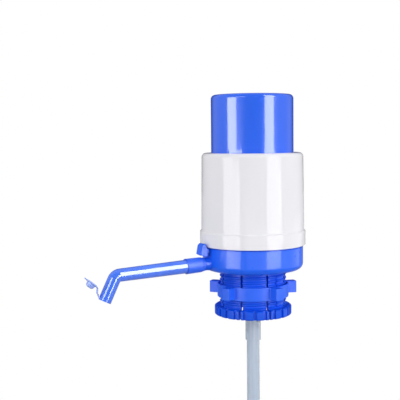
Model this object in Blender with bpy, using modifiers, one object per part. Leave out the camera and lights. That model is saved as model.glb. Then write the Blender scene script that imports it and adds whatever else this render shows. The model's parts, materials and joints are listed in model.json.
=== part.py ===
"""Hand-press pump for a drinking-water bottle, clamped on the bottle's neck.

Units: the constants are in millimetres, the model is in metres, +Z is up. The origin is on the pump's axis
at the plane where the mouth seal rests on the bottle's rim, and the spout runs towards -X.
Run it with blender --background --python part.py, or from Blender's text editor.
"""

import math

import bmesh
import bpy
from mathutils import Matrix, Vector

MM = 0.001  # one millimetre in metres
MERGE = 0.00001  # merge distance for turned shapes, in metres
GAP = 0.3  # what neighbouring pieces leave between them
ROUND = 42  # sides of the large turned shells
COLLET_SIDES = 28  # sides of the collet, and of each turn of its thread
MEDIUM = 28
SMALL = 12
HIDDEN = 8  # sides of bosses and holes inside the housing
REACH = 2.0  # how far a joined shape or a cutter runs on past a face

# --- Press cap and piston ---------------------------------------------------------------------------------
CAP_R = 40.0
CAP_TOP_Z = 173.0
CAP_EDGE_R = 4.0
CAP_WALL = 2.0
CAP_ROOF = 2.5
CAP_LOW_Z = 109.0
POST_R = 14.8  # guide tube for the return spring inside the cap's roof
POST_WALL = 2.0
POST_LENGTH = 20.0
PISTON_R = 43.5
PISTON_TOP_Z = 115.0
PISTON_LOW_Z = 106.0
PISTON_BORE_R = 34.8
SOCKET_TOP_Z = 117.0  # the piston's inner sleeve stands this high inside the cap
SEAL_R = 43.65
SEAL_TOP_R = 43.3
SEAL_LOW_Z = 98.5
SEAL_BORE_R = 36.0
RETAINER_R = 41.2
RETAINER_TOP_Z = 102.7
RETAINER_LOW_Z = 100.5

# --- Cover shell ------------------------------------------------------------------------------------------
SHELL_TOP_Z = 117.3
SHELL_TOP_R = 49.2
SHELL_LOW_R = 50.05
SHELL_WALL = 2.0
SHOULDER_R = 6.5
SHELL_MOUTH_R = 40.7
BAND_R = 51.5  # the thicker band round the shell's lower edge
BAND_TOP_Z = 42.0
SHELL_LOW_Z = 28.0
SHELL_BORE_R = 48.2

# --- Base housing -----------------------------------------------------------------------------------------
BASE_R = 49.0
BASE_TOP_Z = SHELL_LOW_Z - GAP
BASE_LOW_Z = 4.0
BASE_CORNER_R = 6.5
BASE_FLOOR_Z = 6.2
FLOOR_R = 46.0
BASE_BORE_R = 46.4
SPIGOT_R = 47.7
SPIGOT_TOP_Z = 44.0
LEDGE_R = 42.3
LEDGE_Z = 22.3
LEDGE_DEPTH = 4.8
COLUMN_R = 7.5
COLUMN_TOP_Z = 20.3
STUB_R = 5.6
STUB_LOW_Z = -14.0
WATER_R = 3.8
AIR_HOLE_R = 2.0
INNER_CIRCLE_R = 13.5  # air holes and collet screws lie on it
OUTER_CIRCLE_R = 37.0  # barrel screws lie on it
AIR_HOLES_DEG = (0, 90, 270)
SCREWS_DEG = (45, 135, 225, 315)
INNER_BOSS_R = 3.0
INNER_BOSS_TOP_Z = 14.0
OUTER_BOSS_R = 4.0
OUTER_BOSS_TOP_Z = 24.6

# --- Pump barrel and outlet valve -------------------------------------------------------------------------
BARREL_R = 46.0
BARREL_BORE_R = 44.0
BARREL_LOW_Z = 25.0
BARREL_FLOOR_Z = 27.5
BARREL_TOP_Z = 112.4
VALVE_X = 30.0
VALVE_PORT_R = 5.5
VALVE_DISC_R = 7.5
CAGE_R = 9.8
CAGE_LOW_Z = 14.0
CAGE_WALL = 1.3
RIM_WALL = 1.4
RIM_LOW_Z = 21.0
GUIDE_R = 14.2
GUIDE_TOP = 10.2  # above the guide's seat
GUIDE_FLANGE_R = 20.0
GUIDE_FLANGE = 1.5
SPRING_MEAN_R = 17.0
SPRING_WIRE_R = 1.1
SPRING_TURNS = 8

# --- Neck collet and locking ring -------------------------------------------------------------------------
COLLET_R = 31.5
COLLET_BORE_R = 28.3
COLLET_TOP_Z = BASE_LOW_Z - GAP
PLATE_LOW_Z = 2.1
PLATE_HOLE_R = 8.2
THREAD_CREST_R = 32.5
THREAD_PITCH = 4.2
CROWN_R = 37.7
CROWN_TOP_Z = -31.6
CROWN_LOW_Z = -40.5
CROWN_BEVEL = 1.8
SLOT_WIDTH = 2.0
SLOT_TOP_Z = 1.5
SLOT_COUNT = 8
SLOT_FIRST_DEG = 220.5
PAD_COUNT = 24  # grip pads round the crown; a slot splits every third one
GROOVE_WIDTH = 3.2
GROOVE_DEPTH = 2.2
MOUTH_SEAL_R = 27.9
MOUTH_SEAL_BORE_R = 17.5
RING_R = 34.75
RING_BORE_R = 32.9  # clears the thread's crests by 0.4
RING_BEVEL = 0.6
RING_TOP_Z = -9.9
RING_LOW_Z = -22.8
LOBE_TIP_R = 44.0
LOBE_WIDTH = 8.6
LOBE_CORNER = 1.2
LOBE_COUNT = 5
LOBE_FIRST_DEG = 203.6

# --- Dip tube ---------------------------------------------------------------------------------------------
ADAPTER_R = 7.5
ADAPTER_TOP_Z = 3.4
ADAPTER_LOW_Z = -67.0
ADAPTER_STOP_Z = -40.0
ADAPTER_BORE_R = 4.6
TUBE_R = 6.25
TUBE_BORE_R = 5.05
TUBE_ENDS_Z = (-178.0, -310.0, -440.0)  # lower ends of the three lengths
COUPLING_R = 7.6
COUPLING_HALF = 15.0
NOTCH_WIDTH = 3.0
NOTCH_HEIGHT = 8.0

# --- Spout ------------------------------------------------------------------------------------------------
SPOUT_ROOT_Z = 12.1  # height of the spout's axis where it leaves the base
SPOUT_DROOP_DEG = 2.3
NIPPLE_R = 5.8
NIPPLE_LENGTH = 11.4
SLEEVE_START = 5.4
SLEEVE_END = 24.1
SLEEVE_R = 7.35
SPOUT_START = 12.0
SPOUT_CORNER = 94.3
SPOUT_TURN_DEG = 61.6
SPOUT_BEND_R = 6.4
SPOUT_LEG = 25.3
SPOUT_R = 6.5
SPOUT_CORNER_R = 6.0
SPOUT_MOUTH_R = 6.05
SPOUT_WALL = 1.1
SPOUT_SEAL_AT = 8.8  # from the base's wall

# --- Spout cap and its tether -----------------------------------------------------------------------------
HINGE_OUT = 9.86  # from the outlet's axis to the tether's hinge
HINGE_BACK = 3.84  # the hinge's distance behind the mouth's plane
CAP_OPEN_DEG = 193.1  # how far the cap is turned away from the mouth
CAP_DISC_R = 5.9
CAP_DISC_LOW = 0.4  # the closed disc's distance in front of the mouth's plane
CAP_DISC_THICK = 1.3
CAP_PLUG_R = 4.55
CAP_PLUG_LENGTH = 4.0  # a dome below the disc
STRAP_WIDTH = 3.2
STRAP_THICK = 1.1
TAB_LENGTH = 2.2
TAB_WIDTH = 4.0

# --- Release lever ----------------------------------------------------------------------------------------
PIVOT_X = -51.4
PIVOT_Z = 24.4
LEVER_HALF_WIDTH = 5.2
PIN_R = 0.95
PIN_HALF = 5.0
VENT_Z = 20.8
VENT_R = 1.2
PLUG_R = 1.5


# --- Scene and helpers ------------------------------------------------------------------------------------
def clear_scene():
    for thing in list(bpy.data.objects):
        bpy.data.objects.remove(thing, do_unlink=True)


def new_collection(name):
    collection = bpy.data.collections.new(name)
    bpy.context.scene.collection.children.link(collection)
    return collection


def plastic(name, colour, roughness=0.3, metallic=0.0, alpha=1.0):
    """A Principled material; every piece has its own."""
    made = bpy.data.materials.new(name)
    made.use_nodes = True
    shader = made.node_tree.nodes["Principled BSDF"]
    shader.inputs["Base Color"].default_value = (*colour, 1.0)
    shader.inputs["Roughness"].default_value = roughness
    shader.inputs["Metallic"].default_value = metallic
    shader.inputs["Alpha"].default_value = alpha
    return made


BLUE = (0.03, 0.12, 0.80)
DEEP_BLUE = (0.02, 0.09, 0.66)
SOFT_BLUE = (0.10, 0.20, 0.86)
WHITE = (0.80, 0.80, 0.83)
CLEAR = (0.62, 0.74, 0.92)
PALE_BLUE = (0.36, 0.42, 0.86)
NATURAL = (0.70, 0.70, 0.66)
BLACK = (0.02, 0.02, 0.02)
STEEL = (0.55, 0.56, 0.58)

clear_scene()
PARTS = new_collection("bottle_hand_pump")
CUTTERS = new_collection("cutters")


def placed(name, mesh, colour=None, roughness=0.3, metallic=0.0, alpha=1.0):
    """Links a mesh as a part with its own material or, with no colour, as a hidden cutter."""
    thing = bpy.data.objects.new(name, mesh)
    if colour is None:
        CUTTERS.objects.link(thing)
        thing.hide_render = True
        thing.display_type = "WIRE"
    else:
        PARTS.objects.link(thing)
        mesh.materials.append(plastic(name, colour, roughness, metallic, alpha))
        mesh.shade_smooth()
    return thing


def turned(name, outline, colour=None, steps=ROUND, **finish):
    """Turns a profile of (radius, height) about Z. The profile runs down its outer side."""
    mesh = bpy.data.meshes.new(name)
    open_at_axis = outline[0][0] == 0 and outline[-1][0] == 0
    points = [Vector((r * MM, 0, z * MM)) for r, z in outline]
    count = len(points)
    edges = [(i, i + 1) for i in range(count - 1)]
    if not open_at_axis:
        edges.append((count - 1, 0))
    mesh.from_pydata(points, edges, [])
    thing = placed(name, mesh, colour, **finish)
    screw = thing.modifiers.new("turn", "SCREW")
    screw.axis = "Z"
    screw.angle = math.tau
    screw.steps = steps
    screw.render_steps = steps
    screw.use_merge_vertices = True
    screw.merge_threshold = MERGE
    return thing


def arc(centre, radius, start_deg, end_deg, steps=4):
    """Points of an arc in a (radius, height) profile."""
    span = math.radians(end_deg - start_deg)
    first = math.radians(start_deg)
    angles = [first + span * i / steps for i in range(steps + 1)]
    return [(centre[0] + radius * math.cos(a), centre[1] + radius * math.sin(a)) for a in angles]


def rod(name, radius, start, end, colour=None, sides=SMALL, tip_radius=None, **finish):
    """A straight cylinder or cone between two points."""
    low, high = Vector(start) * MM, Vector(end) * MM
    tip = radius if tip_radius is None else tip_radius
    build = bmesh.new()
    bmesh.ops.create_cone(build, cap_ends=True, segments=sides, radius1=radius * MM,
                          radius2=tip * MM, depth=(high - low).length)
    mesh = bpy.data.meshes.new(name)
    build.to_mesh(mesh)
    build.free()
    thing = placed(name, mesh, colour, **finish)
    thing.location = (low + high) / 2
    thing.rotation_euler = (high - low).to_track_quat("Z", "Y").to_euler()
    return thing


def boxes(name, places, size):
    """A cutter of equal boxes, one at each matrix, in millimetres."""
    build = bmesh.new()
    for place in places:
        scale = Matrix.Diagonal((*size, 1))
        bmesh.ops.create_cube(build, size=1, matrix=Matrix.Scale(MM, 4) @ place @ scale)
    mesh = bpy.data.meshes.new(name)
    build.to_mesh(mesh)
    build.free()
    return placed(name, mesh)


def slab(name, outline, thickness, place, colour=None, **finish):
    """Extrudes a flat outline by its thickness, centred on the outline's plane, and sets it at a matrix."""
    curve = bpy.data.curves.new(name, "CURVE")
    curve.dimensions = "2D"
    curve.fill_mode = "BOTH"
    curve.extrude = thickness / 2 * MM
    spline = curve.splines.new("POLY")
    spline.points.add(len(outline) - 1)
    for point, (x, y) in zip(spline.points, outline):
        point.co = (x * MM, y * MM, 0, 1)
    spline.use_cyclic_u = True
    mesh = mesh_of_curve(name, curve)
    thing = placed(name, mesh, colour, **finish)
    thing.matrix_world = place
    return thing


def mesh_of_curve(name, curve):
    """The curve's evaluated mesh with its caps welded to its sides."""
    guide = bpy.data.objects.new(name + "_guide", curve)
    bpy.context.scene.collection.objects.link(guide)
    bpy.context.view_layer.update()
    evaluated = guide.evaluated_get(bpy.context.evaluated_depsgraph_get())
    mesh = bpy.data.meshes.new_from_object(evaluated)
    bpy.data.objects.remove(guide, do_unlink=True)
    build = bmesh.new()
    build.from_mesh(mesh)
    bmesh.ops.remove_doubles(build, verts=build.verts, dist=MERGE)
    bmesh.ops.recalc_face_normals(build, faces=build.faces)
    build.to_mesh(mesh)
    build.free()
    mesh.name = name
    return mesh


def combine(thing, other, operation):
    step = thing.modifiers.new(other.name, "BOOLEAN")
    step.operation = operation
    step.solver = "EXACT"
    step.object = other


def cut(thing, *others):
    for other in others:
        combine(thing, other, "DIFFERENCE")


def join(thing, *others):
    for other in others:
        combine(thing, other, "UNION")


def cut_cross(thing, name, place, size):
    """Cuts two equal boxes at right angles about a vertical axis."""
    for k in range(2):
        cut(thing, boxes(f"{name}_{k}", [place @ Matrix.Rotation(k * math.pi / 2, 4, "Z")], size))


def on_circle(radius, degrees, z=0.0):
    angle = math.radians(degrees)
    return Vector((radius * math.cos(angle), radius * math.sin(angle), z))


def column_at(radius, degrees, low, high):
    """The ends of an upright line at a place round the axis."""
    return on_circle(radius, degrees, low), on_circle(radius, degrees, high)


def turned_about_z(radius, degrees, z):
    """A matrix at a radius and height, its X axis pointing away from the pump's axis."""
    return Matrix.Rotation(math.radians(degrees), 4, "Z") @ Matrix.Translation((radius, 0, z))


def coil(name, low, high, mean_radius, wire_radius, turns, centre, colour, per_turn=10):
    """A coil spring about a vertical axis, with a closed turn at each end."""
    steps = turns * per_turn
    curve = bpy.data.curves.new(name, "CURVE")
    curve.dimensions = "3D"
    curve.bevel_depth = wire_radius * MM
    curve.bevel_resolution = 2
    curve.use_fill_caps = True
    spline = curve.splines.new("POLY")
    spline.points.add(steps)
    first = low + wire_radius
    last = high - wire_radius
    closed_share = 0.9 / turns  # of the length, at each end, where the turns touch
    closed_rise = 2.3 * wire_radius
    for i, point in enumerate(spline.points):
        share = i / steps
        angle = math.tau * turns * share
        if share < closed_share:
            height = first + closed_rise * share / closed_share
        elif share > 1 - closed_share:
            height = last - closed_rise * (1 - share) / closed_share
        else:
            middle = (share - closed_share) / (1 - 2 * closed_share)
            height = first + closed_rise + (last - first - 2 * closed_rise) * middle
        x = centre[0] + mean_radius * math.cos(angle)
        y = centre[1] + mean_radius * math.sin(angle)
        point.co = (x * MM, y * MM, height * MM, 1)
    return placed(name, mesh_of_curve(name, curve), colour, roughness=0.25, metallic=1.0)


def holder(name, place):
    """An empty that carries the pieces of one moving group."""
    empty = bpy.data.objects.new(name, None)
    PARTS.objects.link(empty)
    empty.matrix_world = place
    return empty


SPOUT_DIRECTION = Matrix.Rotation(math.pi, 4, "Z") @ Matrix.Rotation(math.radians(SPOUT_DROOP_DEG), 4, "Y")
SPOUT_ROOT = Vector((-BASE_R, 0, SPOUT_ROOT_Z))


def spout_point(along, up=0.0):
    """A point on the spout's straight axis, measured outwards from the base's wall."""
    return SPOUT_ROOT + SPOUT_DIRECTION.to_3x3() @ Vector((along, 0, up))


# --- Base housing: drum, water elbow, bosses, tongue for the lever ----------------------------------------
def base_housing():
    corner = arc((BASE_R - BASE_CORNER_R, BASE_LOW_Z + BASE_CORNER_R), BASE_CORNER_R, 0, -90)
    base = turned("base_housing", [
        (0, BASE_FLOOR_Z), (FLOOR_R, BASE_FLOOR_Z), (FLOOR_R, LEDGE_Z - LEDGE_DEPTH), (LEDGE_R, LEDGE_Z - 1.5),
        (LEDGE_R, LEDGE_Z), (BASE_BORE_R, LEDGE_Z), (BASE_BORE_R, SPIGOT_TOP_Z), (SPIGOT_R, SPIGOT_TOP_Z),
        (SPIGOT_R, BASE_TOP_Z), (BASE_R, BASE_TOP_Z), *corner, (0, BASE_LOW_Z)], BLUE)
    column = rod("base_column", COLUMN_R, (0, 0, BASE_LOW_Z + 0.2), (0, 0, COLUMN_TOP_Z), sides=MEDIUM)
    stub = rod("base_stub", STUB_R, (0, 0, BASE_FLOOR_Z - 1), (0, 0, STUB_LOW_Z), sides=24)
    duct = rod("base_duct", NIPPLE_R, spout_point(-BASE_R), spout_point(NIPPLE_LENGTH), sides=24)
    join(base, column, stub, duct)
    low = BASE_FLOOR_Z - REACH
    for k, degrees in enumerate(SCREWS_DEG):
        inner = column_at(INNER_CIRCLE_R, degrees, low, INNER_BOSS_TOP_Z)
        outer = column_at(OUTER_CIRCLE_R, degrees, low, OUTER_BOSS_TOP_Z)
        join(base, rod(f"base_inner_boss_{k}", INNER_BOSS_R, *inner, sides=HIDDEN))
        join(base, rod(f"base_outer_boss_{k}", OUTER_BOSS_R, *outer, sides=HIDDEN))
        inner_pilot = column_at(INNER_CIRCLE_R, degrees, BASE_LOW_Z - REACH, INNER_BOSS_TOP_Z - 1.4)
        outer_pilot = column_at(OUTER_CIRCLE_R, degrees, OUTER_BOSS_TOP_Z / 2, OUTER_BOSS_TOP_Z + REACH)
        cut(base, rod(f"base_inner_pilot_{k}", 1.5, *inner_pilot, sides=HIDDEN))
        cut(base, rod(f"base_outer_pilot_{k}", 1.7, *outer_pilot, sides=HIDDEN))
    tongue = slab("base_tongue", [(-48.0, 22.7), (-52.0, 22.7), (-53.0, 23.7), (-53.0, 26.2),
                                  (-52.0, 27.2), (-48.0, 27.2)], 3.0, upright(0.0))
    join(base, tongue)
    riser_bore = rod("base_riser_bore", WATER_R, (0, 0, STUB_LOW_Z - 1), spout_point(-BASE_R), sides=SMALL)
    duct_bore = rod("base_duct_bore", WATER_R, spout_point(-BASE_R - 1.0), spout_point(NIPPLE_LENGTH + 1),
                    sides=SMALL)
    pin_hole = rod("base_pin_hole", PIN_R + GAP, (PIVOT_X, -3, PIVOT_Z), (PIVOT_X, 3, PIVOT_Z), sides=SMALL)
    vent = rod("base_vent", VENT_R, (-38, 0, VENT_Z), (-50, 0, VENT_Z), sides=SMALL)
    cut(base, riser_bore, duct_bore, pin_hole, vent)
    groove = turned("base_ring_groove", [(NIPPLE_R + 1, 0.95), (NIPPLE_R + 1, -0.95), (4.95, -0.95),
                                         (4.95, 0.95)], steps=24)
    groove.matrix_world = along_spout(SPOUT_SEAL_AT)
    cut(base, groove)
    for k, degrees in enumerate(AIR_HOLES_DEG):
        air = column_at(INNER_CIRCLE_R, degrees, BASE_LOW_Z - 1, BASE_FLOOR_Z + 1)
        cut(base, rod(f"base_air_hole_{k}", AIR_HOLE_R, *air, sides=SMALL))


def upright(y):
    """A plane whose outline is given as world (x, z), at a world y, in millimetres."""
    return Matrix.Translation((0, y * MM, 0)) @ Matrix.Rotation(math.pi / 2, 4, "X")


def along_spout(distance):
    """Turns local Z outwards along the spout, at a distance from the base's wall."""
    place = Matrix.Translation(spout_point(distance) * MM)
    return place @ SPOUT_DIRECTION @ Matrix.Rotation(math.pi / 2, 4, "Y")


# --- Barrel, its seal, its screws, and the cover shell -------------------------------------------------------
def pump_barrel():
    barrel = turned("pump_barrel", [
        (0, BARREL_FLOOR_Z), (BARREL_BORE_R, BARREL_FLOOR_Z), (BARREL_BORE_R, BARREL_TOP_Z),
        (BARREL_R, BARREL_TOP_Z), (BARREL_R, BARREL_LOW_Z), (0, BARREL_LOW_Z)], NATURAL, roughness=0.35)
    rim_r = CAGE_R + GAP
    rim = turned("barrel_valve_rim", [
        (rim_r + RIM_WALL, BARREL_LOW_Z + 0.5), (rim_r + RIM_WALL, RIM_LOW_Z), (rim_r, RIM_LOW_Z),
        (rim_r, BARREL_LOW_Z + 0.5)], steps=24)
    rim.location.x = VALVE_X * MM
    join(barrel, rim)
    below, above = BARREL_LOW_Z - 1, BARREL_FLOOR_Z + 1.5
    cut(barrel, rod("barrel_port", VALVE_PORT_R, (VALVE_X, 0, below), (VALVE_X, 0, above), sides=20))
    for k, degrees in enumerate(SCREWS_DEG):
        hole = column_at(OUTER_CIRCLE_R, degrees, below, above)
        cut(barrel, rod(f"barrel_screw_hole_{k}", 1.8, *hole, sides=HIDDEN))
        screw(f"barrel_screw_{k + 1}", on_circle(OUTER_CIRCLE_R, degrees), 1.4, 3.0, 14.0,
              BARREL_FLOOR_Z + GAP, 2.2)


def screw(name, place, shank_r, head_r, tip_z, seat_z, head_height):
    """A pan-head screw as one turned piece. A head below its seat hangs under it, point up."""
    if tip_z < seat_z:
        top = seat_z + head_height
        outline = [(0, top), (head_r * 0.7, top), (head_r, top - head_height * 0.45), (head_r, seat_z),
                   (shank_r, seat_z), (shank_r, tip_z + 1.5), (0, tip_z)]
    else:
        low = seat_z - head_height
        outline = [(0, tip_z), (shank_r, tip_z - 1.5), (shank_r, seat_z), (head_r, seat_z),
                   (head_r, low + head_height * 0.45), (head_r * 0.7, low), (0, low)]
    made = turned(name, outline, STEEL, steps=HIDDEN, roughness=0.3, metallic=1.0)
    made.location = place * MM
    cross = head_r * 0.95
    depth = head_height * 0.5
    head_face = outline[0][1] if tip_z < seat_z else outline[-1][1]
    face_centre = Matrix.Translation((place.x, place.y, head_face))
    cut_cross(made, name + "_recess", face_centre, (cross, head_r * 0.22, depth))


def ring_seal(name, ring_r, cord_r, z, steps, sides=8):
    """An O-ring: a round cord turned about the pump's axis."""
    outline = [(ring_r + cord_r * math.cos(a), z + cord_r * math.sin(a))
               for a in (-math.tau * (i + 0.5) / sides for i in range(sides))]
    return turned(name, outline, BLACK, steps=steps, roughness=0.6)


def cover_shell():
    inner_r = SHOULDER_R - SHELL_WALL
    centre = (SHELL_TOP_R - SHOULDER_R, SHELL_TOP_Z - SHOULDER_R)
    turned("cover_shell", [
        (SHELL_MOUTH_R, SHELL_TOP_Z), *arc(centre, SHOULDER_R, 90, 0, 5),
        (SHELL_LOW_R, BAND_TOP_Z + 0.9), (BAND_R, BAND_TOP_Z - 0.6), (BAND_R, SHELL_LOW_Z),
        (SHELL_BORE_R, SHELL_LOW_Z), *arc(centre, inner_r, 0, 90, 4),
        (SHELL_MOUTH_R, SHELL_TOP_Z - SHELL_WALL)], WHITE, roughness=0.22)


# --- Outlet valve in the barrel's floor ------------------------------------------------------------------
def outlet_valve():
    centre = Vector((VALVE_X, 0, 0))
    top = BARREL_LOW_Z - GAP
    cage = turned("valve_cage", [
        (CAGE_R, top), (CAGE_R, CAGE_LOW_Z), (1.7, CAGE_LOW_Z), (1.7, CAGE_LOW_Z + 1.5),
        (CAGE_R - CAGE_WALL, CAGE_LOW_Z + 1.5), (CAGE_R - CAGE_WALL, top)], NATURAL, steps=20, roughness=0.35)
    cage.location = centre * MM
    windows = Matrix.Translation((VALVE_X, 0, CAGE_LOW_Z + 4.2))
    cut_cross(cage, "valve_windows", windows, (3 * CAGE_R, 5.0, 4.4))
    disc = turned("valve_disc", [
        (0, top), (VALVE_DISC_R - 0.4, top), (VALVE_DISC_R, top - 0.5), (VALVE_DISC_R, top - 1.5),
        (1.2, top - 1.5), (1.2, CAGE_LOW_Z + 0.6), (0, CAGE_LOW_Z + 0.6)], BLACK, steps=20, roughness=0.6)
    disc.location = centre * MM
    coil("valve_spring", CAGE_LOW_Z + 1.8, top - 1.8, 3.4, 0.25, 4, centre, STEEL, per_turn=8)


# --- Press cap, piston and return spring ------------------------------------------------------------------
def press_cap():
    edge = arc((CAP_R - CAP_EDGE_R, CAP_TOP_Z - CAP_EDGE_R), CAP_EDGE_R, 90, 0, 4)
    roof = CAP_TOP_Z - CAP_ROOF
    bore = CAP_R - CAP_WALL
    turned("press_cap", [
        (0, CAP_TOP_Z), *edge, (CAP_R, CAP_LOW_Z), (bore, CAP_LOW_Z), (bore, roof - 1.5),
        (bore - 1.5, roof), (POST_R, roof), (POST_R, roof - POST_LENGTH),
        (POST_R - POST_WALL, roof - POST_LENGTH), (POST_R - POST_WALL, roof), (0, roof)], BLUE)
    inner = bore - GAP
    turned("piston_ring", [
        (PISTON_R, PISTON_TOP_Z), (PISTON_R, PISTON_LOW_Z), (PISTON_BORE_R, PISTON_LOW_Z),
        (PISTON_BORE_R, SOCKET_TOP_Z), (inner, SOCKET_TOP_Z), (inner, CAP_LOW_Z - GAP),
        (CAP_R + GAP, CAP_LOW_Z - GAP),
        (CAP_R + GAP, PISTON_TOP_Z)], NATURAL, roughness=0.35)
    under = PISTON_LOW_Z - GAP
    web = RETAINER_TOP_Z + GAP
    turned("piston_seal", [
        (SEAL_TOP_R, under), (SEAL_TOP_R, under - 1.7), (SEAL_R, SEAL_LOW_Z), (SEAL_R - 1.35, SEAL_LOW_Z),
        (SEAL_R - 1.85, web), (SEAL_BORE_R, web), (SEAL_BORE_R, under)], BLACK, roughness=0.6)
    turned("piston_retainer", [
        (RETAINER_R, RETAINER_TOP_Z), (RETAINER_R, RETAINER_LOW_Z), (SEAL_BORE_R, RETAINER_LOW_Z),
        (SEAL_BORE_R, RETAINER_TOP_Z)], NATURAL, roughness=0.35)
    seat = BARREL_FLOOR_Z + GAP
    flange = seat + GUIDE_FLANGE
    turned("spring_guide", [
        (0, seat + GUIDE_TOP), (GUIDE_R, seat + GUIDE_TOP), (GUIDE_R, flange), (GUIDE_FLANGE_R, flange),
        (GUIDE_FLANGE_R, seat), (0, seat)], NATURAL, steps=MEDIUM, roughness=0.35)
    coil("return_spring", flange + GAP, roof - GAP, SPRING_MEAN_R, SPRING_WIRE_R, SPRING_TURNS,
         Vector((0, 0, 0)), STEEL)


# --- Neck collet: plate, slotted threaded sleeve, ribbed crown ---------------------------------------------
def thread(name, root_r, crest_r, pitch, top_z, low_z, per_turn=COLLET_SIDES):
    """A right-hand thread ridge lofted along its helix, with faded ends."""
    turns = (top_z - low_z) / pitch
    steps = round(turns * per_turn)
    build = bmesh.new()
    rings = []
    for i in range(steps + 1):
        angle = math.tau * turns * i / steps
        z = low_z + (top_z - low_z) * i / steps
        fade = min(1.0, 0.15 + i / 8, 0.15 + (steps - i) / 8)
        crest = root_r + (crest_r - root_r) * fade
        section = [(root_r - 0.6, z - 1.5), (crest, z - 0.45), (crest, z + 0.45), (root_r - 0.6, z + 1.5)]
        rings.append([build.verts.new((r * MM * math.cos(angle), r * MM * math.sin(angle), h * MM))
                      for r, h in section])
    for low, high in zip(rings, rings[1:]):
        for j in range(4):
            k = (j + 1) % 4
            build.faces.new((low[j], high[j], high[k], low[k]))
    build.faces.new(rings[0])
    build.faces.new(reversed(rings[-1]))
    bmesh.ops.triangulate(build, faces=build.faces)
    bmesh.ops.recalc_face_normals(build, faces=build.faces)
    mesh = bpy.data.meshes.new(name)
    build.to_mesh(mesh)
    build.free()
    return placed(name, mesh)


def neck_collet():
    collet = turned("neck_collet", [
        (COLLET_R, COLLET_TOP_Z), (COLLET_R, CROWN_TOP_Z), (CROWN_R - CROWN_BEVEL, CROWN_TOP_Z),
        (CROWN_R, CROWN_TOP_Z - CROWN_BEVEL), (CROWN_R, CROWN_LOW_Z + CROWN_BEVEL),
        (CROWN_R - CROWN_BEVEL, CROWN_LOW_Z), (COLLET_BORE_R, CROWN_LOW_Z), (COLLET_BORE_R, PLATE_LOW_Z),
        (PLATE_HOLE_R, PLATE_LOW_Z), (PLATE_HOLE_R, COLLET_TOP_Z)], DEEP_BLUE, steps=COLLET_SIDES,
        roughness=0.35)
    join(collet, thread("collet_thread", COLLET_R, THREAD_CREST_R, THREAD_PITCH, 1.6, CROWN_TOP_Z + 1.7))
    slot_depth = CROWN_R - COLLET_BORE_R + 2 * REACH
    slot_height = SLOT_TOP_Z - CROWN_LOW_Z + 1
    slot_middle_r = (CROWN_R + COLLET_BORE_R) / 2 + 1
    slots = [turned_about_z(slot_middle_r, SLOT_FIRST_DEG + 360 / SLOT_COUNT * k, SLOT_TOP_Z - slot_height / 2)
             for k in range(SLOT_COUNT)]
    cut(collet, boxes("collet_slots", slots, (slot_depth, SLOT_WIDTH, slot_height)))
    crown_middle_z = (CROWN_TOP_Z + CROWN_LOW_Z) / 2
    grooves = [turned_about_z(CROWN_R, SLOT_FIRST_DEG + 360 / PAD_COUNT * (k + 0.5), crown_middle_z)
               for k in range(PAD_COUNT)]
    groove_height = CROWN_TOP_Z - CROWN_LOW_Z + REACH
    cut(collet, boxes("crown_grooves", grooves, (2 * GROOVE_DEPTH, GROOVE_WIDTH, groove_height)))
    below, above = PLATE_LOW_Z - 1, COLLET_TOP_Z + 1
    for k, degrees in enumerate(SCREWS_DEG):
        hole = column_at(INNER_CIRCLE_R, degrees, below, above)
        cut(collet, rod(f"plate_screw_hole_{k}", 1.6, *hole, sides=HIDDEN))
        screw(f"collet_screw_{k + 1}", on_circle(INNER_CIRCLE_R, degrees), 1.2, 2.5, 12.0,
              PLATE_LOW_Z - GAP, 1.9)
    for k, degrees in enumerate(AIR_HOLES_DEG):
        air = column_at(INNER_CIRCLE_R, degrees, below, above)
        cut(collet, rod(f"plate_air_hole_{k}", AIR_HOLE_R, *air, sides=SMALL))
    seal_top = PLATE_LOW_Z - GAP
    turned("mouth_seal", [
        (MOUTH_SEAL_R, seal_top), (MOUTH_SEAL_R, 0), (MOUTH_SEAL_BORE_R, 0), (MOUTH_SEAL_BORE_R, seal_top)],
        BLACK, steps=24, roughness=0.6)


# --- Locking ring: threaded nut with five lobes -------------------------------------------------------------
def locking_ring():
    ring = turned("locking_ring", [
        (RING_R - RING_BEVEL, RING_TOP_Z), (RING_R, RING_TOP_Z - RING_BEVEL), (RING_R, RING_LOW_Z + RING_BEVEL),
        (RING_R - RING_BEVEL, RING_LOW_Z), (RING_BORE_R, RING_LOW_Z), (RING_BORE_R, RING_TOP_Z)], BLUE)
    half = LOBE_WIDTH / 2
    shoulder = LOBE_TIP_R - LOBE_CORNER
    root = RING_BORE_R + 0.8
    outline = [(root, -half - 1.0), (RING_R + 1, -half), (shoulder, -half), (LOBE_TIP_R, LOBE_CORNER - half),
               (LOBE_TIP_R, half - LOBE_CORNER), (shoulder, half), (RING_R + 1, half), (root, half + 1.0)]
    middle = (RING_TOP_Z + RING_LOW_Z) / 2 * MM
    for k in range(LOBE_COUNT):
        turn = Matrix.Rotation(math.radians(LOBE_FIRST_DEG + 360 / LOBE_COUNT * k), 4, "Z")
        place = Matrix.Translation((0, 0, middle)) @ turn
        join(ring, slab(f"ring_lobe_{k}", outline, RING_TOP_Z - RING_LOW_Z - 0.2, place))


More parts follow.
